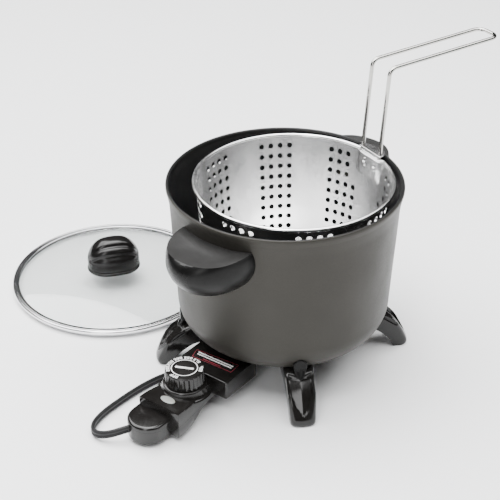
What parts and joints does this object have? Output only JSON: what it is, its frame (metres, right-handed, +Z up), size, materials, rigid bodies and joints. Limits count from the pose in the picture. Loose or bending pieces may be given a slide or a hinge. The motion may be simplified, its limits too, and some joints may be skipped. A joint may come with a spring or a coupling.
{
  "type": "deep fryer",
  "caption": "Round cast electric deep fryer on legs, with side grips, a lift-out perforated basket with a wire handle, a glass lid and a plug-in heat control with a cord.",
  "frame": {"origin": "on the axis of the pot, at the height of the worktop it stands on", "axes": "+Z up, -X towards the front where the heat control plugs in, +Y to the left of a user who stands at the front"},
  "size_m": [0.4918, 0.4658, 0.3041],
  "materials": {
    "pot_metal": "dark non-stick coating",
    "black_phenolic": "glossy",
    "zinc_steel": "bright",
    "element_steel": "oxidised",
    "ceramic": "glazed",
    "cast_aluminium": "as cast",
    "steel_sheet": "satin",
    "basket_aluminium": "polished",
    "chrome_wire": "bright",
    "clear_glass": "clear",
    "lid_band": "polished",
    "black_rubber": "matte",
    "brass": "bright",
    "copper_blade": "satin",
    "lead_sleeve": "woven",
    "lamp_glass": "clear",
    "lens_plastic": "milky",
    "label_print": "printed"
  },
  "bodies": {
    "fryer": {"pot": "pot_metal", "handle_front": "black_phenolic", "handle_rear": "black_phenolic", "handle_screws": "zinc_steel", "leg_front_left": "black_phenolic", "leg_front_right": "black_phenolic", "leg_rear_left": "black_phenolic", "leg_rear_right": "black_phenolic", "leg_screws": "zinc_steel", "heating_element": "element_steel", "terminal_insulators": "ceramic", "terminal_pins": "zinc_steel", "probe_well": "cast_aluminium", "terminal_guard": "steel_sheet", "guard_screws": "zinc_steel"},
    "basket_body": {"basket": "basket_aluminium", "basket_hook": "basket_aluminium", "basket_rivets": "basket_aluminium"},
    "handle_body": {"basket_handle": "chrome_wire"},
    "lid_body": {"lid_glass": "clear_glass", "lid_rim": "lid_band", "lid_knob": "black_phenolic", "lid_knob_screw": "zinc_steel", "lid_knob_washer": "black_rubber"},
    "control_body": {"control_upper_housing": "black_phenolic", "control_lower_housing": "black_phenolic", "housing_screws": "zinc_steel", "thermostat_probe": "zinc_steel", "thermostat_frame": "steel_sheet", "terminal_contacts": "brass", "thermostat_blades": "copper_blade", "insulator_stack": "ceramic", "lead_wires": "lead_sleeve", "pilot_lamp": "lamp_glass", "pilot_lens": "lens_plastic", "label_plate": "label_print", "strain_relief": "black_rubber", "power_cord": "black_rubber", "cord_coil": "black_rubber", "plug_body": "black_rubber", "plug_blades": "brass"},
    "dial_body": {"dial_knob": "black_phenolic", "dial_plate": "black_phenolic", "dial_shaft": "zinc_steel"}
  },
  "joints": [
    {"name": "basket_lift", "type": "slide", "parent": "fryer", "child": "basket_body", "axis": [0, 0, 1], "range_m": [0, 0.18]},
    {"name": "basket_handle_pull", "type": "slide", "parent": "basket_body", "child": "handle_body", "axis": [0, 0, 1], "range_m": [0, 0.04]},
    {"name": "lid_lift", "type": "slide", "parent": "fryer", "child": "lid_body", "axis": [0, 0, 1], "range_m": [0, 0.15]},
    {"name": "control_unplug", "type": "slide", "parent": "fryer", "child": "control_body", "axis": [-1, 0, 0], "range_m": [0, 0.05]},
    {"name": "dial_turn", "type": "hinge", "parent": "control_body", "child": "dial_body", "pos_m": [-0.146, 0.013, 0.05], "axis": [0, 0, -1], "range_deg": [0, 270]}
  ]
}
